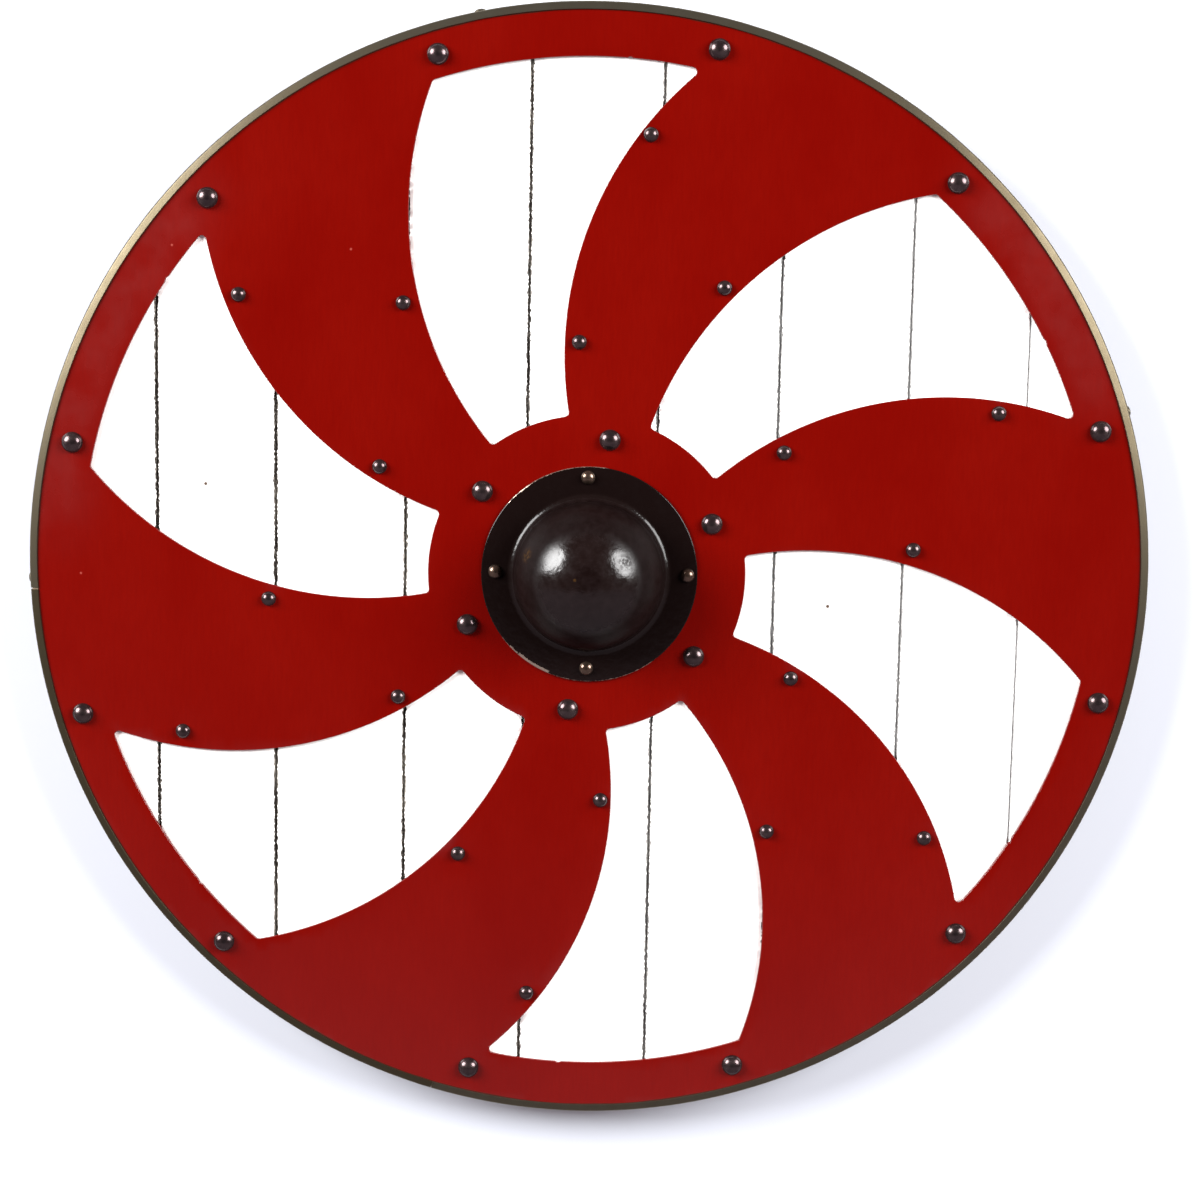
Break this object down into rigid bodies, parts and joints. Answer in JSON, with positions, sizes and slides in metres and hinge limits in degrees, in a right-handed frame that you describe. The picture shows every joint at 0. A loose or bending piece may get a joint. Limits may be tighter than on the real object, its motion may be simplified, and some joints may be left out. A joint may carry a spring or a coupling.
{
  "type": "viking shield",
  "caption": "Round wooden shield: planked boards under a painted sheet with curved windows, folded steel rim, domed iron boss, domed studs, back battens and a grip bar.",
  "frame": {"origin": "middle of the underside, where the battens and the grip touch the ground", "axes": "+Z out of the painted face, +Y towards the face's upper edge, +X to the right seen from the front"},
  "size_m": [0.8147, 0.8128, 0.093],
  "materials": {
    "white_boards": "white paint on planed boards",
    "red_sheet": "satin red paint",
    "bare_wood": "planed and oiled",
    "rim_steel": "darkened steel",
    "boss_steel": "dark oil-blacked gloss",
    "stud_metal": "polished dark gunmetal"
  },
  "bodies": {
    "root": {"board_1": "white_boards", "board_2": "white_boards", "board_3": "white_boards", "board_4": "white_boards", "board_5_upper": "white_boards", "board_5_lower": "white_boards", "board_6": "white_boards", "board_7": "white_boards", "board_8": "white_boards", "board_9": "white_boards", "face_sheet": "red_sheet", "rim_short": "rim_steel", "rim_long": "rim_steel", "boss": "boss_steel", "batten_upper": "bare_wood", "batten_lower": "bare_wood", "grip": "bare_wood", "rim_stud_1": "stud_metal", "rim_stud_2": "stud_metal", "rim_stud_3": "stud_metal", "rim_stud_4": "stud_metal", "rim_stud_5": "stud_metal", "rim_stud_6": "stud_metal", "rim_stud_7": "stud_metal", "rim_stud_8": "stud_metal", "rim_stud_9": "stud_metal", "rim_stud_10": "stud_metal", "rim_stud_11": "stud_metal", "rim_stud_12": "stud_metal", "hub_stud_1": "stud_metal", "hub_stud_2": "stud_metal", "hub_stud_3": "stud_metal", "hub_stud_4": "stud_metal", "hub_stud_5": "stud_metal", "hub_stud_6": "stud_metal", "arm_stud_1": "stud_metal", "arm_stud_2": "stud_metal", "arm_stud_3": "stud_metal", "arm_stud_4": "stud_metal", "arm_stud_5": "stud_metal", "arm_stud_6": "stud_metal", "arm_stud_7": "stud_metal", "arm_stud_8": "stud_metal", "arm_stud_9": "stud_metal", "arm_stud_10": "stud_metal", "arm_stud_11": "stud_metal", "arm_stud_12": "stud_metal", "arm_stud_13": "stud_metal", "arm_stud_14": "stud_metal", "arm_stud_15": "stud_metal", "arm_stud_16": "stud_metal", "arm_stud_17": "stud_metal", "arm_stud_18": "stud_metal", "boss_rivet_1": "stud_metal", "boss_rivet_2": "stud_metal", "boss_rivet_3": "stud_metal", "boss_rivet_4": "stud_metal", "rim_nail_1": "rim_steel", "rim_nail_2": "rim_steel", "rim_nail_3": "rim_steel"}
  },
  "joints": []
}
